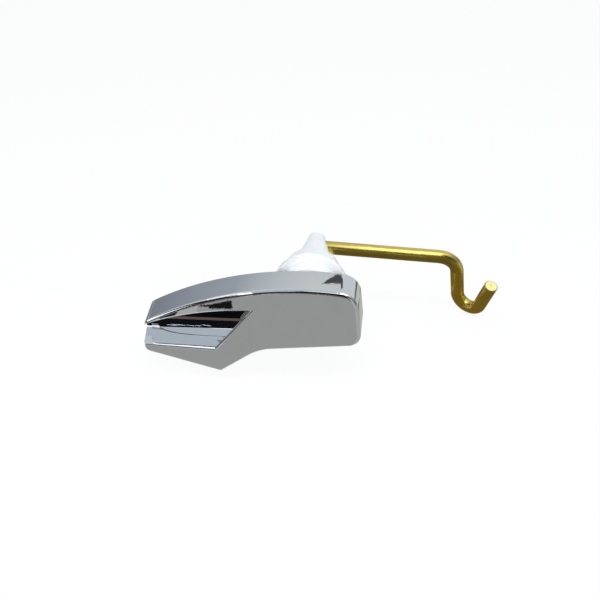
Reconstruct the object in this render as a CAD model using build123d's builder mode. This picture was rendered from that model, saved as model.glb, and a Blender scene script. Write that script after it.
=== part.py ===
"""Cistern lever: a chromed handle, a nylon bush with its locknut, and a brass lift arm.

Frame: X to the right along the arm, Y into the cistern along the pivot, Z up.
The origin is on the pivot axis, at the face that meets the front of the cistern wall.
"""

import os
from math import cos, degrees, radians, sin, sqrt, tan

from build123d import *

# Lift arm: one bent brass rod
rod_diameter = 4.76
arm_setback = 25.6
arm_run = 43.7
arm_dip_angle = 2.3
elbow_radius = 7.8
drop_length = 11.8
drop_right_angle = 9.6
drop_back_angle = 12.2
hook_radius = 4.75
hook_turn_angle = 160.0
hook_swing_angle = 37.0
hook_leg = 13.9
rod_end_chamfer = 0.35
arm_inset = 2.6

# Bush, washer and locknut
thread_diameter = 15.9
bush_flange_thickness = 2.2
bush_length = 12.2
shoulder_square = 15.9
shoulder_corner_diameter = 19.0
shoulder_length = 3.0
washer_thickness = 2.0
bush_flange_width = 0.6
nut_wall = 1.3
nut_end_wall = 1.4
nut_flange_width = 1.1
nut_flange_thickness = 2.4
nut_length = 10.0
nut_grip_count = 8
nut_grip_radius = 1.6
nut_grip_depth = 0.7

# Spindle
journal_diameter = 9.4
head_diameter = 11.6
head_nose_diameter = 6.4
head_behind_arm = 4.7
head_taper_length = 13.7
tenon_square = 6.4
tenon_length = 5.0
screw_bore_diameter = 4.6
stop_lug_width_angle = 40.0
stop_lug_height = 1.6
stop_lug_length = 3.0
stop_lug_place_angle = 90.0
lever_travel_angle = 30.0

# Screws
handle_screw_diameter = 2.5
handle_screw_head_diameter = 4.2
handle_screw_head_height = 2.0
handle_screw_grip = 3.6
handle_screw_seat = 4.0
arm_screw_socket = 2.5
arm_screw_socket_depth = 1.0
arm_screw_length = 2.2

# Handle casting: outline in its own front view, measured from the pivot
handle_droop_angle = 7.0
handle_draft_angle = 2.5
boss_end_reach = 16.8
grip_reach = 55.8
grip_end_rake = 2.2
crown_height = 10.1
crown_offset = 10.0
crown_radius = 105.0
heel_depth = 12.1
toe_reach = 30.4
toe_depth = 19.7
underside_start = 16.6
underside_hollow = 16.0
grip_end_depth = 10.8
crown_corner = 7.0
heel_corner = 4.6
toe_corner = 1.8
grip_top_corner = 4.4
grip_low_corner = 2.8

# Handle casting: depth, walls and boss
top_thickness = 10.1
front_lean_angle = 8.0
lip_turn_angle = 2.0
casting_wall = 2.0
boss_diameter = 13.0
rib_thickness = 1.6
edge_round = 1.2
pocket_edge_round = 0.6

# Finger pocket in the front of the grip
pocket_back = 5.8
ledge_height = -11.1
ledge_tilt_angle = 1.9
ledge_slope_angle = 22.0
pocket_round = 9.5
pocket_wall_angle = 21.0
pocket_top_reach = 17.6
pocket_top_height = 3.1
pocket_brow_reach = 42.0
pocket_brow_height = 2.2
pocket_end_height = -1.8
pocket_end_angle = 44.0
pocket_undercut_angle = 5.0
pocket_ceiling_angle = 20.0

# Clearances
running_clearance = 0.05
rest_clearance = 0.3
fit_clearance = 0.03
thread_clearance = 0.05

TOLERANCE = 0.001

# Values worked out from the driving dimensions
nut_recess_diameter = shoulder_corner_diameter + 2 * rest_clearance
nut_bore_diameter = thread_diameter + 2 * thread_clearance
nut_hub_diameter = nut_recess_diameter + 2 * nut_wall
nut_hub_end_diameter = nut_bore_diameter + 2 * nut_end_wall
nut_flange_diameter = nut_hub_diameter + 2 * nut_flange_width
bush_flange_diameter = shoulder_corner_diameter + 2 * bush_flange_width
arm_screw_diameter = screw_bore_diameter - 2 * fit_clearance
washer_front = -washer_thickness
bush_front = washer_front - bush_flange_thickness
handle_back = bush_front - rest_clearance
head_front = bush_length + rest_clearance
head_back = arm_setback + head_behind_arm
bore_radius = journal_diameter / 2 + running_clearance
rod_radius = rod_diameter / 2
arm_screw_end = arm_setback + rod_radius + fit_clearance + arm_screw_length
stop_slack_angle = degrees(rest_clearance / (journal_diameter / 2))
arm_heading = Vector(cos(radians(arm_dip_angle)), 0, -sin(radians(arm_dip_angle)))
arm_root = Vector(0, arm_setback, 0) - arm_heading * arm_inset
arm_plane = Plane(origin=arm_root, x_dir=(0, 1, 0), z_dir=arm_heading)
handle_depth = top_thickness + (crown_height + toe_depth) * tan(radians(front_lean_angle)) + casting_wall

handle_plane = Plane(
    origin=(0, handle_back, 0),
    x_dir=(cos(radians(handle_droop_angle)), 0, sin(radians(handle_droop_angle))),
    z_dir=(0, -1, 0),
)


def across_pivot(distance):
    """Plane across the pivot axis, facing the front, at a distance into the cistern."""
    return Plane(origin=(0, distance, 0), x_dir=(1, 0, 0), z_dir=(0, -1, 0))


def handle_point(along, up, forward):
    """Point given along the handle, up, and forward of its back rim."""
    return handle_plane.from_local_coords(Vector(along, up, forward))


def front_plane(inset):
    """Leaning front face of the casting, moved inwards by an inset."""
    lean = radians(front_lean_angle)
    normal = handle_plane.y_dir * sin(lean) + handle_plane.z_dir * cos(lean)
    corner = handle_point(0, crown_height, top_thickness)
    return Plane(origin=corner - normal * inset, x_dir=handle_plane.x_dir, z_dir=normal)


def lip_plane(inset):
    """Front of the lower lip, turned back a little from the front face at the crease."""
    face = front_plane(inset)
    crease = handle_point(-toe_reach, -toe_depth, 0)
    reach = (crease - face.origin).dot(face.z_dir) / face.z_dir.dot(handle_plane.z_dir)
    foot = crease - handle_plane.z_dir * reach
    turn = radians(lip_turn_angle)
    return Plane(
        origin=foot,
        x_dir=face.y_dir,
        z_dir=face.z_dir * cos(turn) - face.x_dir * sin(turn),
    )


def lies_in(plane, edge):
    """True for an edge whose ends and middle are in a plane."""
    spots = (edge.position_at(0), edge.position_at(0.5), edge.position_at(1))
    return all(abs((spot - plane.origin).dot(plane.z_dir)) < TOLERANCE for spot in spots)


def rims_pocket(edge):
    """True for an edge between the finger pocket and the front of the casting."""
    in_front = lies_in(front_plane(0), edge) or lies_in(lip_plane(0), edge)
    return in_front and pocket.distance_to(edge.position_at(0.5)) < TOLERANCE


def handle_outline():
    """Closed front view of the casting at its back rim, in the handle's own plane."""
    crown = crown_height - crown_radius
    grip_top = grip_reach - grip_end_rake
    top_right = crown + sqrt(crown_radius**2 - (boss_end_reach + crown_offset) ** 2)
    top_left = crown + sqrt(crown_radius**2 - (grip_top - crown_offset) ** 2)
    rounds = (
        (boss_end_reach, top_right, crown_corner),
        (boss_end_reach, -heel_depth, heel_corner),
        (-toe_reach, -toe_depth, toe_corner),
        (-underside_start, -heel_depth, underside_hollow),
        (-grip_top, top_left, grip_top_corner),
        (-grip_reach, -grip_end_depth, grip_low_corner),
    )
    with BuildSketch() as outline:
        with BuildLine():
            ThreePointArc(
                (boss_end_reach, top_right), (-crown_offset, crown_height), (-grip_top, top_left)
            )
            Polyline(
                (-grip_top, top_left),
                (-grip_reach, -grip_end_depth),
                (-toe_reach, -toe_depth),
                (-underside_start, -heel_depth),
                (boss_end_reach, -heel_depth),
                (boss_end_reach, top_right),
            )
        make_face()
        for along, up, radius in rounds:
            corner = outline.vertices().sort_by_distance((along, up))[0]
            fillet(corner, radius=radius)
    return outline.sketch


def pocket_tool(grow):
    """Space of the finger pocket, grown on all sides by a wall."""
    lean, end_slope = radians(front_lean_angle), radians(pocket_end_angle)
    undercut, ceiling = radians(pocket_undercut_angle), radians(pocket_ceiling_angle)
    tilt = radians(ledge_tilt_angle)
    face = Plane(
        origin=handle_point(0, 0, top_thickness + crown_height * tan(lean) + grow),
        x_dir=handle_plane.x_dir,
        z_dir=front_plane(0).z_dir,
    )
    sideways = handle_plane.x_dir * tan(undercut) - handle_plane.y_dir * tan(ceiling)
    inwards = sideways - handle_plane.z_dir
    run_out = grip_reach + casting_wall
    low_reach = pocket_top_reach + (pocket_top_height + toe_depth) / tan(end_slope)
    along = Plane(
        origin=(-toe_reach, 0, 0),
        x_dir=(0, 1, 0),
        z_dir=(cos(tilt), 0, sin(tilt)),
    )
    back = handle_back - pocket_back
    wall_top = back + (crown_height - ledge_height) * tan(radians(pocket_wall_angle))
    front = back - handle_depth
    ledge_front = ledge_height - handle_depth * tan(radians(ledge_slope_angle))
    with BuildPart() as tool:
        with BuildSketch(face):
            with BuildLine():
                ThreePointArc(
                    (-pocket_top_reach, pocket_top_height),
                    (-pocket_brow_reach, pocket_brow_height),
                    (-run_out, pocket_end_height),
                )
                Polyline(
                    (-run_out, pocket_end_height),
                    (-run_out, -toe_depth),
                    (-low_reach, -toe_depth),
                    (-pocket_top_reach, pocket_top_height),
                )
            make_face()
            if grow > 0:
                offset(amount=grow, kind=Kind.INTERSECTION)
        extrude(amount=handle_depth * inwards.length, dir=inwards)
        with BuildSketch(along):
            with BuildLine():
                Polyline(
                    (wall_top, crown_height),
                    (back, ledge_height),
                    (front, ledge_front),
                    (front, crown_height),
                    close=True,
                )
            make_face()
            inner = vertices().sort_by_distance((back, ledge_height))[0]
            fillet(inner, radius=pocket_round)
            if grow > 0:
                offset(amount=grow, kind=Kind.INTERSECTION)
        extrude(amount=2 * grip_reach, both=True, mode=Mode.INTERSECT)
    return tool.part


def sector(inner, outer, start, width):
    """Ring sector across the pivot, from a start angle counted from the arm's side upwards."""
    with BuildSketch() as ring:
        with BuildLine():
            rim = CenterArc((0, 0), outer, start, width)
            Polyline(rim @ 1, (0, 0), rim @ 0)
        make_face()
        Circle(inner, mode=Mode.SUBTRACT)
    return ring.sketch


def shoulder_section(clearance):
    """Square with rounded corners that keeps the bush from turning in the wall."""
    with BuildSketch() as square:
        Rectangle(shoulder_square + 2 * clearance, shoulder_square + 2 * clearance)
        Circle(shoulder_corner_diameter / 2 + clearance, mode=Mode.INTERSECT)
    return square.sketch


def bend(point, heading, toward, radius, turn):
    """Tangent arc of the rod: returns its middle, its end and the heading after it."""
    side = (toward - heading * toward.dot(heading)).normalized()
    centre = point + side * radius
    half, full = radians(turn / 2), radians(turn)
    middle = centre + (heading * sin(half) - side * cos(half)) * radius
    end = centre + (heading * sin(full) - side * cos(full)) * radius
    return middle, end, heading * cos(full) + side * sin(full)


front_view = handle_outline()
pocket = pocket_tool(0)
pocket_wall = pocket_tool(casting_wall)
stop_lug = sector(
    screw_bore_diameter / 2,
    journal_diameter / 2 + stop_lug_height,
    stop_lug_place_angle - stop_lug_width_angle / 2,
    stop_lug_width_angle,
)
stop_notch = sector(
    screw_bore_diameter / 2,
    journal_diameter / 2 + stop_lug_height + rest_clearance,
    stop_lug_place_angle - stop_lug_width_angle / 2 - stop_slack_angle,
    stop_lug_width_angle + lever_travel_angle + 2 * stop_slack_angle,
)

# Hollow of the casting, open at the back, with the boss and its ribs left standing
with BuildPart() as handle_core:
    with BuildSketch(handle_plane):
        add(front_view)
        offset(amount=-casting_wall, kind=Kind.INTERSECTION)
    extrude(amount=handle_depth)
    split(bisect_by=front_plane(casting_wall), keep=Keep.BOTTOM)
    split(bisect_by=lip_plane(casting_wall), keep=Keep.BOTTOM)
    add(pocket_wall, mode=Mode.SUBTRACT)
    with BuildSketch(handle_plane):
        Circle(boss_diameter / 2)
        with Locations((-grip_reach / 2, 0)):
            Rectangle(grip_reach, rib_thickness)
        Rectangle(rib_thickness, 2 * (heel_depth + crown_height))
    extrude(amount=handle_depth, mode=Mode.SUBTRACT)

# Outside of the casting with sharp edges
with BuildPart() as blank:
    with BuildSketch(handle_plane):
        add(front_view)
    extrude(amount=handle_depth, taper=handle_draft_angle)
    split(bisect_by=front_plane(0), keep=Keep.BOTTOM)
    split(bisect_by=lip_plane(0), keep=Keep.BOTTOM)

# The same with the finger pocket and the rounds of its mouth
with BuildPart() as pocketed:
    add(blank.part)
    add(pocket, mode=Mode.SUBTRACT)
    fillet(pocketed.edges().filter_by(rims_pocket), radius=pocket_edge_round)

# Handle: one casting with a finger pocket, a cored back and a boss with a square socket
with BuildPart() as handle:
    add(blank.part)
    face, lip = handle.faces().sort_by(Axis.Y)[:2]
    crease = face.edges() & lip.edges()
    fillet(face.edges() + lip.edges() - crease, radius=edge_round)
    add(pocketed.part, mode=Mode.INTERSECT)
    add(handle_core.part, mode=Mode.SUBTRACT)
    with BuildSketch(across_pivot(handle_back)):
        Rectangle(tenon_square + 2 * fit_clearance, tenon_square + 2 * fit_clearance)
    extrude(amount=tenon_length + rest_clearance, mode=Mode.SUBTRACT)
    with BuildSketch(across_pivot(handle_back)):
        Circle(handle_screw_diameter / 2 + fit_clearance)
    extrude(amount=tenon_length + handle_screw_grip + 2 * rest_clearance, mode=Mode.SUBTRACT)

# Bush: flange, square shoulder and threaded sleeve, with the stop notch at its inner end
with BuildPart() as bush:
    with BuildSketch(across_pivot(washer_front)):
        Circle(bush_flange_diameter / 2)
    extrude(amount=bush_flange_thickness)
    with BuildSketch(across_pivot(shoulder_length)):
        add(shoulder_section(0))
    extrude(amount=shoulder_length + washer_thickness)
    with BuildSketch(across_pivot(bush_length)):
        Circle(thread_diameter / 2)
    extrude(amount=bush_length)
    with BuildSketch(across_pivot(bush_length)):
        Circle(bore_radius)
    extrude(amount=bush_length - bush_front, mode=Mode.SUBTRACT)
    with BuildSketch(across_pivot(bush_length)):
        add(stop_notch)
    extrude(amount=stop_lug_length, mode=Mode.SUBTRACT)

# Wall washer: soft ring round the shoulder
with BuildPart() as wall_washer:
    with BuildSketch(across_pivot(0)):
        Circle(bush_flange_diameter / 2)
        add(shoulder_section(fit_clearance), mode=Mode.SUBTRACT)
    extrude(amount=washer_thickness)

# Locknut: round flange towards the wall, tapered hub with finger flutes
with BuildPart() as locknut:
    with BuildSketch(Plane.XY):
        with BuildLine():
            Polyline(
                (nut_recess_diameter / 2, 0),
                (nut_flange_diameter / 2, 0),
                (nut_flange_diameter / 2, nut_flange_thickness),
                (nut_hub_diameter / 2, nut_flange_thickness),
                (nut_hub_end_diameter / 2, nut_length),
                (nut_bore_diameter / 2, nut_length),
                (nut_bore_diameter / 2, shoulder_length + rest_clearance),
                (nut_recess_diameter / 2, shoulder_length + rest_clearance),
                close=True,
            )
        make_face()
    revolve(axis=Axis.Y)
    with BuildSketch(across_pivot(nut_length)):
        with PolarLocations(nut_hub_diameter / 2 + nut_grip_radius - nut_grip_depth, nut_grip_count):
            Circle(nut_grip_radius)
    extrude(amount=nut_length - nut_flange_thickness, mode=Mode.SUBTRACT)

# Spindle: square tenon, journal with its stop lug, and a tapered head that holds the arm
with BuildPart() as spindle:
    with BuildSketch(Plane.XY):
        with BuildLine():
            Polyline(
                (0, handle_back),
                (journal_diameter / 2, handle_back),
                (journal_diameter / 2, head_front),
                (head_diameter / 2, head_front),
                (head_diameter / 2, head_back - head_taper_length),
                (head_nose_diameter / 2, head_back),
                (0, head_back),
                close=True,
            )
        make_face()
    revolve(axis=Axis.Y)
    with BuildSketch(across_pivot(handle_back)):
        Rectangle(tenon_square, tenon_square)
    extrude(amount=tenon_length)
    with BuildSketch(across_pivot(head_front)):
        add(stop_lug)
    extrude(amount=stop_lug_length)
    with BuildSketch(across_pivot(head_back)):
        Circle(screw_bore_diameter / 2)
    extrude(amount=head_back - handle_screw_seat, mode=Mode.SUBTRACT)
    with BuildSketch(across_pivot(handle_screw_seat)):
        Circle(handle_screw_diameter / 2 + fit_clearance)
    extrude(amount=handle_screw_seat - handle_back + tenon_length, mode=Mode.SUBTRACT)
    with BuildSketch(arm_plane):
        Circle(rod_radius + fit_clearance)
    extrude(amount=head_diameter, mode=Mode.SUBTRACT)

# Handle screw: driven from the inner end, through the spindle into the boss
with BuildPart() as handle_screw:
    with BuildSketch(across_pivot(handle_screw_seat + handle_screw_head_height)):
        Circle(handle_screw_head_diameter / 2)
    extrude(amount=handle_screw_head_height)
    with BuildSketch(across_pivot(handle_screw_seat)):
        Circle(handle_screw_diameter / 2)
    extrude(amount=handle_screw_seat - handle_back + tenon_length + handle_screw_grip)

# Arm: straight run out of the spindle, elbow, leaning drop, and the open hook
with BuildPart() as arm:
    with BuildLine() as route:
        elbow_start = arm_root + arm_heading * (arm_inset + arm_run)
        Line(arm_root, elbow_start)
        drop_heading = Vector(
            sin(radians(drop_right_angle)), sin(radians(drop_back_angle)), -1
        ).normalized()
        elbow_turn = arm_heading.get_angle(drop_heading)
        middle, drop_start, heading = bend(
            elbow_start, arm_heading, drop_heading, elbow_radius, elbow_turn
        )
        ThreePointArc(elbow_start, middle, drop_start)
        hook_start = drop_start + heading * drop_length
        Line(drop_start, hook_start)
        swing = Vector(cos(radians(hook_swing_angle)), -sin(radians(hook_swing_angle)), 0)
        middle, leg_start, heading = bend(hook_start, heading, swing, hook_radius, hook_turn_angle)
        ThreePointArc(hook_start, middle, leg_start)
        Line(leg_start, leg_start + heading * hook_leg)
    with BuildSketch(arm_plane):
        Circle(rod_radius)
    sweep(path=route.line)
    ends = arm.faces().filter_by(GeomType.PLANE)
    chamfer(ends.edges(), length=rod_end_chamfer)

# Arm screw: set screw in the inner end of the spindle's bore, up against the rod
with BuildPart() as arm_screw:
    with BuildSketch(across_pivot(arm_screw_end)):
        Circle(arm_screw_diameter / 2)
    extrude(amount=arm_screw_length)
    with BuildSketch(across_pivot(arm_screw_end)):
        RegularPolygon(arm_screw_socket / 2, 6, major_radius=False)
    extrude(amount=arm_screw_socket_depth, mode=Mode.SUBTRACT)

pieces = {
    "handle": handle,
    "bush": bush,
    "wall_washer": wall_washer,
    "locknut": locknut,
    "spindle": spindle,
    "handle_screw": handle_screw,
    "arm": arm,
    "arm_screw": arm_screw,
}
os.makedirs("parts", exist_ok=True)
for name, piece in pieces.items():
    piece.part.label = name
    export_step(piece.part, f"parts/{name}.step")
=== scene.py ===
"""Cistern lever dressed for its picture: chromed handle, nylon wall fitting and brass lift arm.

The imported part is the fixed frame. Lengths are metres in that frame: X runs along the arm, Y goes
into the cistern along the pivot, and Z is up.
"""

import logging
import math
from dataclasses import dataclass, replace
from enum import Enum
from typing import Any, Iterable, Protocol

import bmesh
import bpy
from mathutils import Matrix, Quaternion, Vector
from mathutils.bvhtree import BVHTree


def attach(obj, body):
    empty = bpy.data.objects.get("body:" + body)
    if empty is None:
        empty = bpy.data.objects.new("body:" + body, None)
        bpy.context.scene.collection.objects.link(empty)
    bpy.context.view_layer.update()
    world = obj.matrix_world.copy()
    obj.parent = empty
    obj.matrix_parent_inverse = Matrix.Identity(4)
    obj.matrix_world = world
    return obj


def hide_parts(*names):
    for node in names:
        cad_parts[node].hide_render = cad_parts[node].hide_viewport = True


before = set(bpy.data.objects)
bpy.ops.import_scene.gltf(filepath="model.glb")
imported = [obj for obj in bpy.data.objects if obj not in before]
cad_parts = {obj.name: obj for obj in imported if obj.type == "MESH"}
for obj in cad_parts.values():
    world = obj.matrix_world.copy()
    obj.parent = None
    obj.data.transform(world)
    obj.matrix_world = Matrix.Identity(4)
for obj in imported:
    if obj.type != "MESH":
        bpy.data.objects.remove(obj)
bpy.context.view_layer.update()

MM = 0.001
LOG = logging.getLogger("cistern_lever")

Colour = tuple[float, float, float]
Point = tuple[float, float, float]

WHITE: Colour = (1.0, 1.0, 1.0)
# Middle of anything that runs from 0 to 1
MIDDLE = 0.5
# Edges of a moulding are shaded smooth up to this angle
SMOOTH_ANGLE = math.radians(40.0)
# Place of a piece's second finish among its materials
SECOND_FINISH = 1


class Body(Enum):
    """Rigid bodies of the part that a piece can ride on."""

    MOUNTING = "mounting"
    LEVER = "lever"


class Slot(Enum):
    """Material slots of the record."""

    CHROME = "chrome_plate"
    NYLON = "white_nylon"
    WASHER = "soft_washer"
    BRASS = "drawn_brass"
    STEEL = "screw_steel"


class Coords(Enum):
    """Texture coordinates that a finish is laid out in."""

    OBJECT = "Object"
    UV = "UV"


def opaque(colour: Colour) -> tuple[float, float, float, float]:
    """Returns the colour with full alpha."""
    return (*colour, 1.0)


class Nodes:
    """Short way to add and join the nodes of one tree."""

    # Places of the colour sockets on a Mix node
    MIX_FIRST = 6
    MIX_SECOND = 7
    MIX_RESULT = 2

    def __init__(self, tree: bpy.types.NodeTree) -> None:
        """Takes the tree and empties it.

        Args:
            tree: node tree of a material, world or group.
        """
        self.tree = tree
        tree.nodes.clear()

    def add(self, kind: str, inputs: dict[str, Any] | None = None, **settings: Any) -> bpy.types.Node:
        """Adds a node.

        Args:
            kind: Blender's name of the node type.
            inputs: values, or output sockets to join, by input name.
            settings: properties of the node.

        Returns:
            The new node.
        """
        node = self.tree.nodes.new(kind)
        for name, value in settings.items():
            setattr(node, name, value)
        for name, value in (inputs or {}).items():
            self.feed(node.inputs[name], value)
        return node

    def feed(self, socket: bpy.types.NodeSocket, value: Any) -> None:
        """Joins an output to the socket, or sets the socket's own value.

        Args:
            socket: input socket.
            value: output socket to join, or a plain value.
        """
        if isinstance(value, bpy.types.NodeSocket):
            self.tree.links.new(value, socket)
        else:
            socket.default_value = value

    def math(self, operation: str, first: Any, second: Any = 0.0) -> bpy.types.NodeSocket:
        """Adds a Math node.

        Args:
            operation: Blender's name of the operation.
            first: number or socket.
            second: number or socket.

        Returns:
            The result.
        """
        node = self.add("ShaderNodeMath", operation=operation)
        self.feed(node.inputs[0], first)
        self.feed(node.inputs[1], second)
        return node.outputs[0]

    def blend(self, factor: Any, first: Any, second: Any) -> bpy.types.NodeSocket:
        """Mixes two colours.

        Args:
            factor: 0 for the first colour and 1 for the second, as a number or socket.
            first: colour or socket.
            second: colour or socket.

        Returns:
            The mixed colour.
        """
        node = self.add("ShaderNodeMix", data_type="RGBA")
        self.feed(node.inputs["Factor"], factor)
        self.feed(node.inputs[self.MIX_FIRST], first)
        self.feed(node.inputs[self.MIX_SECOND], second)
        return node.outputs[self.MIX_RESULT]

    def span(self, value: Any, low: float, high: float) -> bpy.types.NodeSocket:
        """Lays a value from 0 to 1 out between two numbers.

        Args:
            value: number or socket.
            low: result at 0.
            high: result at 1.

        Returns:
            The result.
        """
        node = self.add("ShaderNodeMapRange")
        self.feed(node.inputs["Value"], value)
        node.inputs["To Min"].default_value = low
        node.inputs["To Max"].default_value = high
        return node.outputs["Result"]


def new_material(name: str) -> tuple[bpy.types.Material, Nodes]:
    """Makes a material.

    Args:
        name: its name.

    Returns:
        The material and its nodes, with none added yet.
    """
    material = bpy.data.materials.new(name)
    material.use_nodes = True
    return material, Nodes(material.node_tree)


@dataclass(frozen=True)
class Effect:
    """A surface effect kept as a shader node group."""

    name: str
    octaves: float
    roughness: float
    contrast: float

    def group(self) -> bpy.types.NodeTree:
        """Builds the group on first use: a noise stretched along three axes, with more contrast.

        Returns:
            The node group, with inputs Vector, Stretch and Scale and output Value.
        """
        known = bpy.data.node_groups.get(self.name)
        if known:
            return known
        tree = bpy.data.node_groups.new(self.name, "ShaderNodeTree")
        for name, kind in (("Vector", "NodeSocketVector"), ("Stretch", "NodeSocketVector"),
                           ("Scale", "NodeSocketFloat")):
            tree.interface.new_socket(name, in_out="INPUT", socket_type=kind)
        tree.interface.new_socket("Value", in_out="OUTPUT", socket_type="NodeSocketFloat")
        nodes = Nodes(tree)
        entry = nodes.add("NodeGroupInput")
        laid = nodes.add("ShaderNodeVectorMath", operation="MULTIPLY")
        nodes.feed(laid.inputs[0], entry.outputs["Vector"])
        nodes.feed(laid.inputs[1], entry.outputs["Stretch"])
        noise = nodes.add("ShaderNodeTexNoise", {
            "Vector": laid.outputs[0], "Scale": entry.outputs["Scale"],
            "Detail": self.octaves, "Roughness": self.roughness,
        })
        spread = nodes.math("MULTIPLY", nodes.math("SUBTRACT", noise.outputs[0], MIDDLE), self.contrast)
        held = nodes.add("ShaderNodeClamp", {"Value": nodes.math("ADD", spread, MIDDLE)})
        nodes.add("NodeGroupOutput", {"Value": held.outputs[0]})
        return tree


MOTTLE = Effect("mottle", octaves=3.0, roughness=0.55, contrast=1.8)
SCRATCHES = Effect("scratches", octaves=6.0, roughness=0.7, contrast=2.6)
EVEN: Point = (1.0, 1.0, 1.0)


@dataclass(frozen=True)
class Layer:
    """One use of an effect in a finish."""

    effect: Effect
    scale: float
    stretch: Point = EVEN

    def value(self, nodes: Nodes, place: bpy.types.NodeSocket) -> bpy.types.NodeSocket:
        """Places the effect's group in a material.

        Args:
            nodes: the material's nodes.
            place: texture coordinates.

        Returns:
            The group's value, from 0 to 1.
        """
        node = nodes.add("ShaderNodeGroup", node_tree=self.effect.group())
        nodes.feed(node.inputs["Vector"], place)
        nodes.feed(node.inputs["Stretch"], self.stretch)
        nodes.feed(node.inputs["Scale"], self.scale)
        return node.outputs["Value"]


@dataclass(frozen=True)
class Finish:
    """A surface finish: two colours, a range of roughness and a fine relief."""

    name: str
    slot: Slot
    light: Colour
    deep: Colour
    rough: tuple[float, float]
    cloud: Layer
    relief: Layer
    relief_depth: float
    relief_strength: float
    coords: Coords = Coords.OBJECT
    metallic: float = 0.0
    ior: float = 1.5
    subsurface: float = 0.0
    subsurface_reach: float = 0.0

    def material(self) -> bpy.types.Material:
        """Builds the finish's material once.

        Returns:
            The material.
        """
        known = bpy.data.materials.get(self.name)
        if known:
            return known
        material, nodes = new_material(self.name)
        place = nodes.add("ShaderNodeTexCoord").outputs[self.coords.value]
        cloud = self.cloud.value(nodes, place)
        relief = self.relief.value(nodes, place)
        bump = nodes.add("ShaderNodeBump", {
            "Strength": self.relief_strength, "Distance": self.relief_depth, "Height": relief,
        })
        shader = nodes.add("ShaderNodeBsdfPrincipled", {
            "Base Color": nodes.blend(cloud, opaque(self.deep), opaque(self.light)),
            "Roughness": nodes.span(nodes.math("MULTIPLY", cloud, relief), *self.rough),
            "Metallic": self.metallic,
            "IOR": self.ior,
            "Normal": bump.outputs["Normal"],
            "Subsurface Weight": self.subsurface,
            "Subsurface Scale": self.subsurface_reach,
        })
        nodes.add("ShaderNodeOutputMaterial", {"Surface": shader.outputs[0]})
        return material

    def dress(self, piece: bpy.types.Object) -> None:
        """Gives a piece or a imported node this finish.

        Args:
            piece: object to dress.
        """
        if piece.data.materials:
            piece.data.materials[0] = self.material()
        else:
            piece.data.materials.append(self.material())


CHROME = Finish(
    "chrome_on_zinc", Slot.CHROME, light=(0.71, 0.72, 0.72), deep=(0.68, 0.69, 0.695), rough=(0.02, 0.05),
    cloud=Layer(MOTTLE, 180.0), relief=Layer(MOTTLE, 420.0),
    relief_depth=0.02 * MM, relief_strength=0.14, metallic=1.0,
)
AS_CAST = Finish(
    "as_cast_zinc", Slot.CHROME, light=(0.6, 0.61, 0.62), deep=(0.47, 0.48, 0.49), rough=(0.36, 0.55),
    cloud=Layer(MOTTLE, 260.0), relief=Layer(MOTTLE, 1300.0),
    relief_depth=0.06 * MM, relief_strength=0.35, metallic=1.0,
)
NYLON = Finish(
    "natural_nylon", Slot.NYLON, light=(0.93, 0.94, 0.945), deep=(0.88, 0.9, 0.9), rough=(0.3, 0.46),
    cloud=Layer(MOTTLE, 160.0), relief=Layer(MOTTLE, 900.0),
    relief_depth=0.03 * MM, relief_strength=0.25, ior=1.53, subsurface=0.25, subsurface_reach=1.2 * MM,
)
WASHER = Finish(
    "pale_soft_washer", Slot.WASHER, light=(0.86, 0.87, 0.86), deep=(0.76, 0.78, 0.78), rough=(0.6, 0.8),
    cloud=Layer(MOTTLE, 300.0), relief=Layer(SCRATCHES, 1600.0),
    relief_depth=0.05 * MM, relief_strength=0.4,
)
BRASS = Finish(
    "drawn_brass_rod", Slot.BRASS, light=(0.76, 0.61, 0.2), deep=(0.6, 0.46, 0.1), rough=(0.24, 0.38),
    cloud=Layer(MOTTLE, 2.2, (1.0, 0.35, 1.0)), relief=Layer(SCRATCHES, 14.0, (3.0, 0.12, 1.0)),
    relief_depth=0.03 * MM, relief_strength=0.35, coords=Coords.UV, metallic=1.0,
)
CUT_BRASS = Finish(
    "cut_brass_face", Slot.BRASS, light=(0.9, 0.85, 0.43), deep=(0.78, 0.71, 0.33), rough=(0.4, 0.6),
    cloud=Layer(MOTTLE, 6.0), relief=Layer(SCRATCHES, 9.0, (0.3, 4.0, 1.0)),
    relief_depth=0.03 * MM, relief_strength=0.4, coords=Coords.UV, metallic=1.0,
)
STEEL = Finish(
    "dark_screw_steel", Slot.STEEL, light=(0.3, 0.3, 0.31), deep=(0.16, 0.16, 0.17), rough=(0.3, 0.5),
    cloud=Layer(MOTTLE, 900.0), relief=Layer(SCRATCHES, 2400.0),
    relief_depth=0.02 * MM, relief_strength=0.3, metallic=1.0,
)


def new_piece(name: str, mesh: bpy.types.Mesh, body: Body, finish: Finish) -> bpy.types.Object:
    """Links a mesh as a piece that rides on a body.

    Args:
        name: name of the piece.
        mesh: its mesh, in the part's frame.
        body: body that it moves with.
        finish: its surface finish.

    Returns:
        The new object.
    """
    piece = bpy.data.objects.new(name, mesh)
    bpy.context.scene.collection.objects.link(piece)
    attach(piece, body.value)
    finish.dress(piece)
    LOG.info("made %s with %d faces", name, len(mesh.polygons))
    return piece


def dress_node(node: str, finish: Finish) -> None:
    """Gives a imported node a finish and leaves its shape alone."""
    finish.dress(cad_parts[node])
    LOG.info("dressed %s", node)


def mesh_from(made: bmesh.types.BMesh, name: str) -> bpy.types.Mesh:
    """Turns a mesh in the making into a finished one.

    Args:
        made: mesh in the making, which is freed.
        name: name of the finished mesh.

    Returns:
        The finished mesh.
    """
    mesh = bpy.data.meshes.new(name)
    made.to_mesh(mesh)
    made.free()
    return mesh


def shade(mesh: bpy.types.Mesh, sharp_from: float) -> None:
    """Shades a mesh smooth, apart from the edges that turn by more than an angle."""
    mesh.shade_smooth()
    mesh.set_sharp_from_angle(angle=sharp_from)


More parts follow.
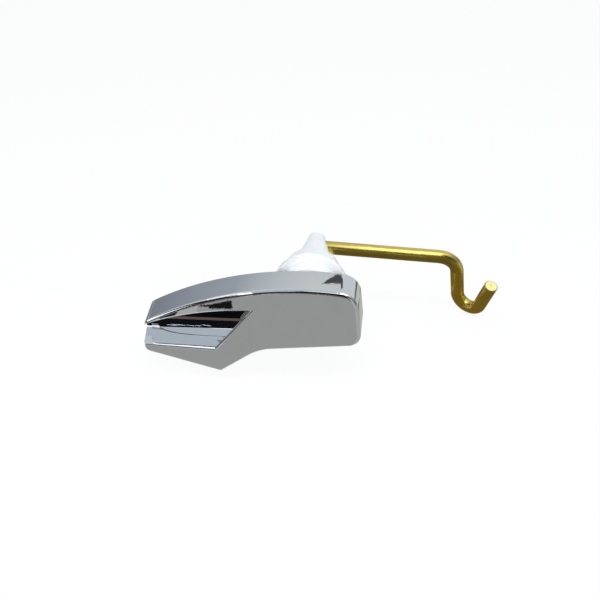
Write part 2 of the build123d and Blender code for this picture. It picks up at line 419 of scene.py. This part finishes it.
def bridge(
    made: bmesh.types.BMesh, first: list[bmesh.types.BMVert], second: list[bmesh.types.BMVert]
) -> list[bmesh.types.BMFace]:
    """Joins two closed loops of as many vertices by four-sided faces.

    Args:
        made: mesh in the making.
        first: vertices of one loop.
        second: vertices of the next loop.

    Returns:
        The new faces, in the order of the vertices.
    """
    faces = []
    for j in range(len(first)):
        k = (j + 1) % len(first)
        faces.append(made.faces.new((first[j], first[k], second[k], second[j])))
    return faces


@dataclass(frozen=True)
class Handle:
    """Chromed casting with its finger pocket, polished outside and left as cast inside."""

    node: str = "handle"
    name: str = "plated_handle"
    lift: float = 0.05 * MM
    span: float = 70.0 * MM
    facing_front: float = -0.05
    facing_back: float = 0.5

    def hollow_faces(self, mesh: bpy.types.Mesh) -> list[bpy.types.MeshPolygon]:
        """Finds the faces of the cored back, which look at another wall and not to the front.

        Args:
            mesh: the casting's mesh.

        Returns:
            Those faces.
        """
        spots = [vert.co for vert in mesh.vertices]
        tree = BVHTree.FromPolygons(spots, [face.vertices for face in mesh.polygons])
        rim = max(spot.y for spot in spots) - self.lift
        found = []
        for face in mesh.polygons:
            if face.normal.y < self.facing_front or face.center.y > rim:
                continue
            walled = tree.ray_cast(face.center + face.normal * self.lift, face.normal, self.span)[0]
            if walled or face.normal.y > self.facing_back:
                found.append(face)
        return found

    def build(self) -> None:
        """Copies the casting with a second finish on its hollow faces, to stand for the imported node."""
        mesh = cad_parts[self.node].data.copy()
        piece = new_piece(self.name, mesh, Body.LEVER, CHROME)
        mesh.materials.append(AS_CAST.material())
        for face in self.hollow_faces(mesh):
            face.material_index = SECOND_FINISH
        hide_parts(self.node)


@dataclass(frozen=True)
class Softened:
    """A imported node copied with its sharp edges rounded, as a moulding leaves its tool."""

    node: str
    name: str
    body: Body
    finish: Finish
    radius: float
    steps: int = 3
    profile: float = 0.5
    most_corners: int = 4
    merge: float = 0.002 * MM
    flat_angle: float = math.radians(0.6)
    sharp_angle: float = math.radians(28.0)

    def mesh(self) -> bpy.types.Mesh:
        """Copies the node's mesh, joins its flat triangles and rounds its sharp edges.

        Returns:
            The new mesh.
        """
        made = bmesh.new()
        made.from_mesh(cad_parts[self.node].data)
        bmesh.ops.remove_doubles(made, verts=made.verts, dist=self.merge)
        bmesh.ops.dissolve_limit(made, angle_limit=self.flat_angle, verts=made.verts, edges=made.edges)
        joined = [edge for edge in made.edges if edge.is_manifold]
        sharp = [edge for edge in joined if edge.calc_face_angle() > self.sharp_angle]
        bmesh.ops.bevel(
            made, geom=sharp, offset=self.radius, offset_type="OFFSET", segments=self.steps,
            profile=self.profile, affect="EDGES", clamp_overlap=True,
        )
        wide = [face for face in made.faces if len(face.verts) > self.most_corners]
        bmesh.ops.triangulate(made, faces=wide)
        mesh = mesh_from(made, self.name)
        shade(mesh, SMOOTH_ANGLE)
        return mesh

    def build(self) -> bpy.types.Object:
        """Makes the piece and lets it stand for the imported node.

        Returns:
            The piece.
        """
        piece = new_piece(self.name, self.mesh(), self.body, self.finish)
        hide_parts(self.node)
        return piece


@dataclass(frozen=True)
class ThreadCutter:
    """Helical groove cut into the bush's sleeve."""

    name: str = "thread_cutter"
    start: float = 3.3 * MM
    end: float = 13.4 * MM
    pitch: float = 1.8 * MM
    root_radius: float = 7.3 * MM
    outer_radius: float = 8.3 * MM
    root_half: float = 0.16 * MM
    outer_half: float = 0.72 * MM
    steps_per_turn: int = 72

    def mesh(self) -> bpy.types.Mesh:
        """Sweeps the groove's section along its helix.

        Returns:
            A closed mesh of the groove.
        """
        made = bmesh.new()
        turns = (self.end - self.start) / self.pitch
        count = round(turns * self.steps_per_turn)
        section = (
            (self.root_radius, -self.root_half), (self.root_radius, self.root_half),
            (self.outer_radius, self.outer_half), (self.outer_radius, -self.outer_half),
        )
        loops = []
        for step in range(count + 1):
            angle = 2 * math.pi * turns * step / count
            middle = self.start + (self.end - self.start) * step / count
            loops.append([
                made.verts.new((radius * math.cos(angle), middle + shift, radius * math.sin(angle)))
                for radius, shift in section
            ])
        for first, second in zip(loops, loops[1:]):
            bridge(made, first, second)
        made.faces.new(loops[0])
        made.faces.new(reversed(loops[-1]))
        bmesh.ops.recalc_face_normals(made, faces=made.faces)
        return mesh_from(made, self.name)

    def cut(self, piece: bpy.types.Object) -> None:
        """Cuts the groove into a piece's own mesh.

        Args:
            piece: the bush.
        """
        tool = bpy.data.objects.new(self.name, self.mesh())
        bpy.context.scene.collection.objects.link(tool)
        cutting = piece.modifiers.new("thread", "BOOLEAN")
        cutting.operation = "DIFFERENCE"
        cutting.solver = "EXACT"
        cutting.object = tool
        bpy.context.view_layer.update()
        cut = bpy.data.meshes.new_from_object(piece.evaluated_get(bpy.context.evaluated_depsgraph_get()))
        piece.modifiers.clear()
        piece.data = cut
        bpy.data.objects.remove(tool)
        shade(cut, SMOOTH_ANGLE)


@dataclass(frozen=True)
class WallFitting:
    """Bush, sealing washer and locknut that stay on the cistern wall."""

    bush: Softened = Softened("bush", "threaded_bush", Body.MOUNTING, NYLON, 0.25 * MM)
    thread: ThreadCutter = ThreadCutter()
    washer: Softened = Softened("wall_washer", "soft_washer", Body.MOUNTING, WASHER, 0.4 * MM)
    nut: Softened = Softened("locknut", "moulded_nut", Body.MOUNTING, NYLON, 0.35 * MM)

    def build(self) -> None:
        """Makes the three pieces and cuts the bush's thread."""
        self.thread.cut(self.bush.build())
        self.washer.build()
        self.nut.build()


@dataclass(frozen=True)
class Spindle:
    """Nylon spindle with the screws that hold the handle and the arm."""

    moulding: Softened = Softened("spindle", "moulded_spindle", Body.LEVER, NYLON, 0.3 * MM)
    screws: tuple[str, ...] = ("handle_screw", "arm_screw")

    def build(self) -> None:
        """Makes the spindle and dresses its screws."""
        self.moulding.build()
        for screw in self.screws:
            dress_node(screw, STEEL)


@dataclass(frozen=True)
class Ring:
    """One ring of the rod's skin: its centre, two axes across the rod, radius and length up to it."""

    centre: Vector
    across: Vector
    over: Vector
    radius: float
    length: float

    def point(self, angle: float) -> Vector:
        """Returns the point of the ring at an angle."""
        return self.centre + (self.across * math.cos(angle) + self.over * math.sin(angle)) * self.radius


@dataclass(frozen=True)
class LiftArm:
    """Brass rod, bent once at the elbow and once round the hook."""

    node: str = "arm"
    name: str = "lift_arm"
    rod_radius: float = 2.375 * MM
    setback: float = 25.6 * MM
    inset: float = 2.6 * MM
    run: float = 43.7 * MM
    dip: float = math.radians(2.3)
    elbow_radius: float = 7.8 * MM
    drop: float = 11.8 * MM
    drop_right: float = math.radians(9.6)
    drop_back: float = math.radians(12.2)
    hook_radius: float = 4.75 * MM
    hook_turn: float = math.radians(160.0)
    hook_swing: float = math.radians(37.0)
    leg: float = 13.9 * MM
    chamfer: float = 0.35 * MM
    around: int = 48
    arc_step: float = math.radians(4.0)
    run_step: float = 2.0 * MM
    smooth_angle: float = math.radians(35.0)
    cap_shares: tuple[float, ...] = (0.85, 0.7, 0.56, 0.44, 0.33, 0.22, 0.12)
    pit_radius: float = 0.5 * MM
    pit_depth: float = 0.16 * MM
    pit_shift: tuple[float, float] = (0.35 * MM, 0.15 * MM)

    @property
    def girth(self) -> float:
        """Returns the way once round the rod."""
        return 2 * math.pi * self.rod_radius

    def bend(
        self, point: Vector, heading: Vector, toward: Vector, radius: float, turn: float
    ) -> list[Vector]:
        """Works out points along a tangent arc of the rod, without its first one.

        Args:
            point: where the arc starts.
            heading: direction of the rod there.
            toward: direction that it turns to.
            radius: radius of the rod's centre line.
            turn: angle that it turns through.

        Returns:
            The points, the last one at the end of the arc.
        """
        side = (toward - heading * toward.dot(heading)).normalized()
        centre = point + side * radius
        steps = max(2, round(turn / self.arc_step))
        angles = [turn * step / steps for step in range(1, steps + 1)]
        return [centre + (heading * math.sin(a) - side * math.cos(a)) * radius for a in angles]

    def straight(self, point: Vector, heading: Vector, length: float) -> list[Vector]:
        """Returns points along a straight run, without its first one."""
        steps = max(1, round(length / self.run_step))
        return [point + heading * (length * step / steps) for step in range(1, steps + 1)]

    def route(self) -> tuple[list[Vector], list[Vector]]:
        """Works out the centre line.

        Returns:
            Its points and the rod's heading at each of them.
        """
        heading = Vector((math.cos(self.dip), 0.0, -math.sin(self.dip)))
        points = [Vector((0.0, self.setback, 0.0)) - heading * self.inset]
        headings = [heading]

        def go(more: list[Vector], turn_axis: Vector | None, turn: float) -> None:
            """Adds points, with headings that turn evenly about an axis.

            Args:
                more: points to add.
                turn_axis: axis of the bend, or None on a straight run.
                turn: angle of the whole bend.
            """
            start = headings[-1]
            for step, point in enumerate(more, 1):
                points.append(point)
                angle = turn * step / len(more)
                headings.append(Quaternion(turn_axis, angle) @ start if turn_axis else start.copy())

        go(self.straight(points[-1], heading, self.inset + self.run), None, 0.0)
        down = Vector((math.sin(self.drop_right), math.sin(self.drop_back), -1.0)).normalized()
        turn = heading.angle(down)
        elbow = self.bend(points[-1], heading, down, self.elbow_radius, turn)
        go(elbow, heading.cross(down).normalized(), turn)
        heading = headings[-1]
        go(self.straight(points[-1], heading, self.drop), None, 0.0)
        swing = Vector((math.cos(self.hook_swing), -math.sin(self.hook_swing), 0.0))
        hook = self.bend(points[-1], heading, swing, self.hook_radius, self.hook_turn)
        go(hook, heading.cross(swing).normalized(), self.hook_turn)
        go(self.straight(points[-1], headings[-1], self.leg), None, 0.0)
        return points, headings

    def rings(self) -> list[Ring]:
        """Sets rings along the centre line, with a chamfer at both ends.

        Returns:
            The rings, from the rod's inner end to its outer end.
        """
        points, headings = self.route()
        across = headings[0].orthogonal().normalized()
        length = 0.0
        found = []
        for i, (point, heading) in enumerate(zip(points, headings)):
            if i:
                turn = headings[i - 1].rotation_difference(heading)
                across = turn @ across
                length += (point - points[i - 1]).length
            found.append(Ring(point, across.copy(), heading.cross(across), self.rod_radius, length))
        start, *between, end = found
        narrow = self.rod_radius - self.chamfer
        inner = start.centre + headings[0] * self.chamfer
        outer = end.centre - headings[-1] * self.chamfer
        return [
            replace(start, radius=narrow),
            replace(start, centre=inner, length=self.chamfer),
            *between,
            replace(end, centre=outer, length=length - self.chamfer),
            replace(end, radius=narrow),
        ]

    def mesh(self) -> bpy.types.Mesh:
        """Skins the rings and closes both ends, with a small pit in each cut face.

        Returns:
            The rod's mesh, with texture coordinates round and along it.
        """
        made = bmesh.new()
        layer = made.loops.layers.uv.new("rod")
        angles = [2 * math.pi * step / self.around for step in range(self.around)]
        rings = self.rings()
        loops = [[made.verts.new(ring.point(angle)) for angle in angles] for ring in rings]
        for i in range(len(rings) - 1):
            near, far = rings[i].length, rings[i + 1].length
            for j, face in enumerate(bridge(made, loops[i], loops[i + 1])):
                ends = ((j, near), (j + 1, near), (j + 1, far), (j, far))
                for corner, (step, length) in zip(face.loops, ends):
                    corner[layer].uv = (step / self.around, length / self.girth)
        self.close(made, layer, rings[0], loops[0], -1.0)
        self.close(made, layer, rings[-1], loops[-1], 1.0)
        bmesh.ops.recalc_face_normals(made, faces=made.faces)
        mesh = mesh_from(made, self.name)
        shade(mesh, self.smooth_angle)
        return mesh

    def close(
        self, made: bmesh.types.BMesh, layer: Any, ring: Ring, outer: list[bmesh.types.BMVert], sign: float
    ) -> None:
        """Closes one end with rings that shrink to a point, sunk a little at the pit.

        Args:
            made: mesh in the making.
            layer: its texture coordinates.
            ring: the end ring.
            outer: vertices of the end ring.
            sign: 1 at the end that the rod heads for, -1 at its start.
        """
        centre = ring.centre
        out = ring.across.cross(ring.over) * sign
        pit = centre + ring.across * self.pit_shift[0] + ring.over * self.pit_shift[1]

        def lay(point: Vector) -> bmesh.types.BMVert:
            """Adds a point of the end face, sunk where it is near the pit."""
            near = max(0.0, 1.0 - (point - pit).length / self.pit_radius)
            return made.verts.new(point - out * self.pit_depth * near * near)

        loops = [outer]
        for share in self.cap_shares:
            spot = centre + (pit - centre) * (1.0 - share)
            loops.append([lay(spot + (vert.co - centre) * share) for vert in outer])
        tip = lay(pit)
        faces = []
        for first, second in zip(loops, loops[1:]):
            faces += bridge(made, first, second)
        for j in range(self.around):
            faces.append(made.faces.new((loops[-1][j], loops[-1][(j + 1) % self.around], tip)))
        for face in faces:
            face.material_index = SECOND_FINISH
            for corner in face.loops:
                offset = corner.vert.co - centre
                corner[layer].uv = (
                    offset.dot(ring.across) / self.girth, offset.dot(ring.over) / self.girth,
                )

    def build(self) -> None:
        """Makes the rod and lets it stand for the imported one."""
        piece = new_piece(self.name, self.mesh(), Body.LEVER, BRASS)
        piece.data.materials.append(CUT_BRASS.material())
        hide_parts(self.node)


@dataclass(frozen=True)
class Camera:
    """The photograph's viewpoint."""

    name: str = "photo_camera"
    eye: Point = (12.94 * MM, -187.21 * MM, 132.86 * MM)
    elevation: float = math.radians(36.3)
    yaw: float = math.radians(5.0)
    focal_pixels: float = 700.0
    picture_pixels: float = 600.0
    sensor: float = 36.0
    nearest: float = 5 * MM
    farthest: float = 20.0

    def build(self) -> None:
        """Makes the camera and gives it to the scene."""
        data = bpy.data.cameras.new(self.name)
        data.sensor_width = self.sensor
        data.lens = self.sensor * self.focal_pixels / self.picture_pixels
        data.clip_start = self.nearest
        data.clip_end = self.farthest
        camera = bpy.data.objects.new(self.name, data)
        flat = math.cos(self.elevation)
        ahead = Vector((-flat * math.sin(self.yaw), flat * math.cos(self.yaw), -math.sin(self.elevation)))
        right = Vector((math.cos(self.yaw), math.sin(self.yaw), 0.0))
        turn = Matrix((right, right.cross(ahead), -ahead)).transposed()
        camera.matrix_world = Matrix.Translation(self.eye) @ turn.to_4x4()
        bpy.context.scene.collection.objects.link(camera)
        bpy.context.scene.camera = camera


def link_stage(name: str, mesh: bpy.types.Mesh, material: bpy.types.Material) -> bpy.types.Object:
    """Links a mesh as part of the set.

    Args:
        name: name of the object.
        mesh: its mesh.
        material: its material.

    Returns:
        The new object.
    """
    mesh.materials.append(material)
    made = bpy.data.objects.new(name, mesh)
    bpy.context.scene.collection.objects.link(made)
    return made


def link_card(name: str, mesh: bpy.types.Mesh, material: bpy.types.Material) -> None:
    """Links a mesh as part of the set that only reflections see.

    Args:
        name: name of the object.
        mesh: its mesh.
        material: its material.
    """
    made = link_stage(name, mesh, material)
    made.visible_camera = False
    made.visible_diffuse = False
    made.visible_shadow = False
    made.visible_transmission = False
    made.visible_volume_scatter = False


def plain_glow(name: str, colour: Colour) -> bpy.types.Material:
    """Makes a material that glows in one even colour.

    Args:
        name: its name.
        colour: its colour.

    Returns:
        The material.
    """
    material, nodes = new_material(name)
    glow = nodes.add("ShaderNodeEmission", {"Color": opaque(colour)})
    nodes.add("ShaderNodeOutputMaterial", {"Surface": glow.outputs[0]})
    return material


@dataclass(frozen=True)
class Flag:
    """A card beside the set that only reflections see, its corners in millimetres."""

    name: str
    colour: Colour
    corners: tuple[Point, ...]

    def build(self) -> None:
        """Hangs the card."""
        mesh = bpy.data.meshes.new(self.name)
        corners = [Vector(corner) * MM for corner in self.corners]
        mesh.from_pydata(corners, [], [tuple(range(len(corners)))])
        link_card(self.name, mesh, plain_glow(self.name, self.colour))


def level(height: float, *spots: tuple[float, float]) -> tuple[Point, ...]:
    """Returns the corners of a level card at a height."""
    return tuple((across, deep, height) for across, deep in spots)


def upright(depth: float, *spots: tuple[float, float]) -> tuple[Point, ...]:
    """Returns the corners of a card that stands across the set at a depth."""
    return tuple((across, depth, height) for across, height in spots)


def level_box(height: float, left: float, right: float, front: float, back: float) -> tuple[Point, ...]:
    """Returns the corners of a level card that is a rectangle."""
    return level(height, (left, front), (right, front), (right, back), (left, back))


def upright_box(depth: float, left: float, right: float, low: float, high: float) -> tuple[Point, ...]:
    """Returns the corners of a standing card that is a rectangle."""
    return upright(depth, (left, low), (right, low), (right, high), (left, high))


@dataclass(frozen=True)
class Band:
    """A patch of the dark room behind the camera, in degrees above the horizon and right of the middle."""

    low: float
    high: float
    colour: Colour
    left: float = -80.0
    right: float = 80.0


@dataclass(frozen=True)
class Lamp:
    """A soft lamp that metal doesn't mirror: its watts, its face's size, its place and its aim."""

    name: str
    power: float
    size: tuple[float, float]
    place: Point
    aim: Point

    def build(self) -> None:
        """Hangs the lamp."""
        data = bpy.data.lights.new(self.name, "AREA")
        data.shape = "RECTANGLE"
        data.size, data.size_y = self.size
        data.energy = self.power
        lamp = bpy.data.objects.new(self.name, data)
        lamp.location = self.place
        lamp.rotation_euler = (Vector(self.aim) - Vector(self.place)).to_track_quat("-Z", "Y").to_euler()
        lamp.visible_glossy = False
        bpy.context.scene.collection.objects.link(lamp)


# Tones that several cards and bands of the set share
CARD_BLACK: Colour = (0.01, 0.01, 0.012)
CARD_OLIVE: Colour = (0.2, 0.155, 0.06)
CARD_PALE: Colour = (0.74, 0.77, 0.83)
CARD_WHITE: Colour = (1.6, 1.62, 1.65)
ROOM_BLACK: Colour = (0.006, 0.006, 0.009)
ROOM_BLUE: Colour = (0.54, 0.6, 0.69)
GLINT_WHITE: Colour = (1.5, 1.5, 1.52)
# Height in millimetres of the cards that lie on the floor
ON_FLOOR = -26.4
# Direction in degrees where the room before the finger pocket ends
POCKET_SIDE = -14.0


@dataclass(frozen=True)
class Studio:
    """Pale floor, soft light from above, a plain sky and the dark room behind the camera."""

    floor_level: float = -26.6 * MM
    floor_reach: float = 6.0
    floor_colour: Colour = (0.92, 0.92, 0.92)
    floor_lift: float = 0.9
    dome_radius: float = 3.0
    dome_segments: tuple[int, int] = (64, 48)
    room_distance: float = 0.6
    room_steps: int = 24
    room: tuple[Band, ...] = (
        Band(-2.0, 7.0, (0.004, 0.004, 0.005)),
        Band(7.0, 16.0, (0.15, 0.105, 0.095)),
        Band(16.0, 43.0, ROOM_BLACK, right=POCKET_SIDE),
        Band(43.0, 45.5, ROOM_BLUE, right=-23.5),
        Band(43.0, 45.5, (1.1, 1.12, 1.15), left=-23.5, right=POCKET_SIDE),
        Band(45.5, 80.0, ROOM_BLUE, right=POCKET_SIDE),
        Band(16.0, 57.0, ROOM_BLACK, left=POCKET_SIDE),
        Band(60.0, 70.0, (1.4, 1.4, 1.42), left=POCKET_SIDE),
    )
    glints: tuple[Band, ...] = (
        Band(10.0, 27.0, GLINT_WHITE, left=-85.0, right=-46.0),
        Band(39.0, 43.5, GLINT_WHITE, left=-40.0, right=-31.2),
    )
    glint_distance: float = 0.58
    sparkle: Colour = (1.8, 2.0, 2.3)
    sparkle_distance: float = 0.5
    sparkle_width: float = 0.28
    sparkles: tuple[tuple[float, float, float], ...] = (
        (-27.1, 34.5, 37.5), (-25.9, 33.0, 36.0), (-25.2, 33.5, 36.5), (-24.1, 34.0, 37.0),
        (-23.1, 35.0, 37.0), (-21.2, 32.0, 35.5),
    )
    sky: tuple[tuple[float, Colour], ...] = (
        (0.0, (0.2, 0.22, 0.25)),
        (0.21, (0.29, 0.32, 0.37)),
        (0.5, (0.4, 0.45, 0.51)),
        (0.63, (0.67, 0.71, 0.74)),
        (0.66, (0.78, 0.8, 0.82)),
        (1.0, (0.62, 0.69, 0.76)),
    )
    flags: tuple[Flag, ...] = (
        Flag("front_card", (0.4, 0.41, 0.405), level_box(ON_FLOOR, -300, 21, -160, -20)),
        Flag("far_card", CARD_BLACK, level_box(ON_FLOOR, -300, 21, -420, -160)),
        Flag("ledge_card", (0.76, 0.85, 0.97),
             level(-15.5, (-64, -40), (-33.5, -40), (-29, -31), (-29, -25), (-31, -21.5), (-33, -20.5),
                   (-64, -19.4))),
        Flag("lip_light", CARD_WHITE, level(60.0, (-75.5, -28), (-48, -28), (-47, -4), (-75.5, -4))),
        Flag("crown_light", CARD_WHITE, level(20.0, (-30.5, -33), (-24, -33), (-23, -15), (-29, -15))),
        Flag("brow_shade", (0.03, 0.026, 0.022),
             level(-15.5, (-75, -62), (-54.5, -62), (-52.7, -40), (-75, -40))),
        Flag("brow_light", (0.52, 0.53, 0.51),
             level(-15.6, (-75, -62), (-50, -62), (-46.5, -50), (-43, -40), (-75, -40))),
        Flag("corner_light", CARD_WHITE, level_box(-26.2, -58, -36, -215, -106)),
        Flag("left_card", (0.24, 0.26, 0.29), level_box(ON_FLOOR, -900, -80, 20, 1000)),
        Flag("right_card", (0.1, 0.1, 0.11), level_box(ON_FLOOR, 150, 900, 150, 1000)),
        Flag("right_light", (0.6, 0.64, 0.58), upright_box(12.0, 26, 40, -9, 2.6)),
        Flag("brow_card", CARD_BLACK, level(-26.2, (-58, -80.5), (-40.5, -95), (-38, -85))),
        Flag("top_card", (0.08, 0.08, 0.095),
             upright(60.0, (2.7, 68.7), (13.4, 62.7), (27.1, 62.2), (31.5, 65.3))),
        Flag("side_card", (0.48, 0.51, 0.48),
             level(-26.45, (21, -700), (500, -700), (300, 140), (21, 140))),
        Flag("corner_card", (0.5, 0.52, 0.51), upright_box(-20.0, 15.3, 23, 3, 12)),
        Flag("run_shade", (0.13, 0.11, 0.06), upright(20.5, (6, -8), (50, -8), (50, -0.8), (6, 1.2))),
        Flag("run_under", (0.16, 0.13, 0.05), level_box(-8.0, 6, 50, 20.5, 31)),
        Flag("drop_shade", CARD_OLIVE,
             upright(13.0, (36, -20), (44, ON_FLOOR), (76, ON_FLOOR), (76, -5), (36, -5))),
        Flag("drop_side", CARD_OLIVE, level_box(-20.0, 34, 47, 22, 44)),
        Flag("hook_shade", CARD_OLIVE, level_box(ON_FLOOR, 44, 80, 13, 60)),
        Flag("arm_front", (0.15, 0.12, 0.05), upright_box(-30.0, 20, 95, 2, 50)),
        Flag("arm_top_light", (2.8, 2.8, 2.8), level_box(120.0, 21, 90, -70, 38)),
        Flag("back_light", CARD_PALE, level(120.0, (24, 38), (90, 38), (240, 230), (34, 230))),
        Flag("back_wall", CARD_PALE, upright_box(230.0, 34, 240, 14, 120)),
        Flag("end_light", (1.4, 1.4, 1.3), level_box(200.0, 90, 230, -10, 120)),
    )
    lamps: tuple[Lamp, ...] = (
        Lamp("softbox", 1.25, (0.5, 0.12), (0.05, -0.16, 0.5), (0.0, 0.0, 0.0)),
        Lamp("front_fill", 1.5, (0.4, 0.25), (0.05, -0.55, 0.28), (0.0, 0.02, 0.0)),
    )

    def seen(self, nodes: Nodes) -> bpy.types.NodeSocket:
        """Picks out the rays that show the white ground, from the camera, metal or glass.

        Args:
            nodes: nodes of the world or a material.

        Returns:
            1 for those rays and 0 for the rest.
        """
        path = nodes.add("ShaderNodeLightPath")
        shown = nodes.math("MAXIMUM", path.outputs["Is Camera Ray"], path.outputs["Is Glossy Ray"])
        return nodes.math("MAXIMUM", shown, path.outputs["Is Transmission Ray"])

    def floor(self) -> None:
        """Lays the pale floor, lifted towards white where it is seen."""
        material, nodes = new_material("pale_floor")
        matte = nodes.add("ShaderNodeBsdfDiffuse", {"Color": opaque(self.floor_colour)})
        glow = nodes.add("ShaderNodeEmission")
        lift = nodes.math("MULTIPLY", self.seen(nodes), self.floor_lift)
        mixed = nodes.add("ShaderNodeMixShader", {"Fac": lift})
        nodes.feed(mixed.inputs[1], matte.outputs[0])
        nodes.feed(mixed.inputs[2], glow.outputs[0])
        nodes.add("ShaderNodeOutputMaterial", {"Surface": mixed.outputs[0]})
        reach = self.floor_reach
        corners = level_box(self.floor_level, -reach, reach, -reach, reach)
        mesh = bpy.data.meshes.new("floor")
        mesh.from_pydata(corners, [], [tuple(range(len(corners)))])
        link_stage("floor", mesh, material)

    def sky_colour(self, nodes: Nodes, height: bpy.types.NodeSocket) -> bpy.types.NodeSocket:
        """Lays the sky's colours out by height.

        Args:
            nodes: nodes of the world or a material.
            height: 0 at the horizon and 1 overhead.

        Returns:
            The colour at that height.
        """
        ramp = nodes.add("ShaderNodeValToRGB", {"Fac": height})
        stops = ramp.color_ramp.elements
        while len(stops) < len(self.sky):
            stops.new(MIDDLE)
        for stop, (position, colour) in zip(stops, self.sky):
            stop.position = position
            stop.color = opaque(colour)
        return ramp.outputs["Color"]

    def world(self) -> None:
        """Sets a plain sky that brightens upwards, white where it is seen."""
        world = bpy.data.worlds.new("studio_sky")
        world.use_nodes = True
        nodes = Nodes(world.node_tree)
        place = nodes.add("ShaderNodeTexCoord").outputs["Generated"]
        height = nodes.add("ShaderNodeSeparateXYZ", {"Vector": place}).outputs["Z"]
        colour = nodes.blend(self.seen(nodes), self.sky_colour(nodes, height), opaque(WHITE))
        back = nodes.add("ShaderNodeBackground", {"Color": colour})
        nodes.add("ShaderNodeOutputWorld", {"Surface": back.outputs[0]})
        bpy.context.scene.world = world

    def dome(self) -> None:
        """Hangs the tent over the set that polished metal mirrors, in the sky's colours."""
        material, nodes = new_material("tent")
        place = nodes.add("ShaderNodeTexCoord").outputs["Object"]
        height = nodes.add("ShaderNodeSeparateXYZ", {"Vector": place}).outputs["Z"]
        share = nodes.math("DIVIDE", height, self.dome_radius)
        glow = nodes.add("ShaderNodeEmission", {"Color": self.sky_colour(nodes, share)})
        nodes.add("ShaderNodeOutputMaterial", {"Surface": glow.outputs[0]})
        made = bmesh.new()
        round_about, upwards = self.dome_segments
        bmesh.ops.create_uvsphere(
            made, u_segments=round_about, v_segments=upwards, radius=self.dome_radius
        )
        below = [face for face in made.faces if face.calc_center_median().z < 0.0]
        bmesh.ops.delete(made, geom=below, context="FACES")
        link_card("tent", mesh_from(made, "tent"), material)

    def hang(self, name: str, band: Band, distance: float) -> None:
        """Hangs one patch of the room.

        Args:
            name: its name.
            band: where it hangs, and its colour.
            distance: how far it hangs from the part.
        """
        points = []
        for step in range(self.room_steps + 1):
            turn = math.radians(band.left + (band.right - band.left) * step / self.room_steps)
            for rise in (math.radians(band.low), math.radians(band.high)):
                reach = distance * math.cos(rise)
                points.append((reach * math.sin(turn), -reach * math.cos(turn), distance * math.sin(rise)))
        faces = [(2 * i, 2 * i + 2, 2 * i + 3, 2 * i + 1) for i in range(self.room_steps)]
        mesh = bpy.data.meshes.new(name)
        mesh.from_pydata(points, [], faces)
        link_card(name, mesh, plain_glow(name, band.colour))

    def dark_room(self) -> None:
        """Hangs the room that polished edges and hollows mirror from behind the camera."""
        for number, band in enumerate(self.room):
            self.hang(f"room_band_{number}", band, self.room_distance)
        for number, band in enumerate(self.glints):
            self.hang(f"glint_{number}", band, self.glint_distance)
        half = self.sparkle_width / 2
        for number, (turn, low, high) in enumerate(self.sparkles):
            spot = Band(low, high, self.sparkle, turn - half, turn + half)
            self.hang(f"sparkle_{number}", spot, self.sparkle_distance)

    def build(self) -> None:
        """Sets the whole studio."""
        self.floor()
        self.world()
        self.dome()
        self.dark_room()
        for flag in self.flags:
            flag.build()
        for lamp in self.lamps:
            lamp.build()


class Assembly(Protocol):
    """Anything that main builds."""

    def build(self) -> None:
        """Builds it."""


def main() -> None:
    """Builds and dresses every sub-assembly, then the set round them."""
    logging.basicConfig(level=logging.INFO, format="%(name)s: %(message)s")
    assemblies: tuple[Assembly, ...] = (
        Handle(), WallFitting(), Spindle(), LiftArm(), Camera(), Studio(),
    )
    for assembly in assemblies:
        assembly.build()
        LOG.info("finished %s", type(assembly).__name__)
    bpy.context.scene.view_settings.view_transform = "Standard"


if __name__ == "__main__":
    main()
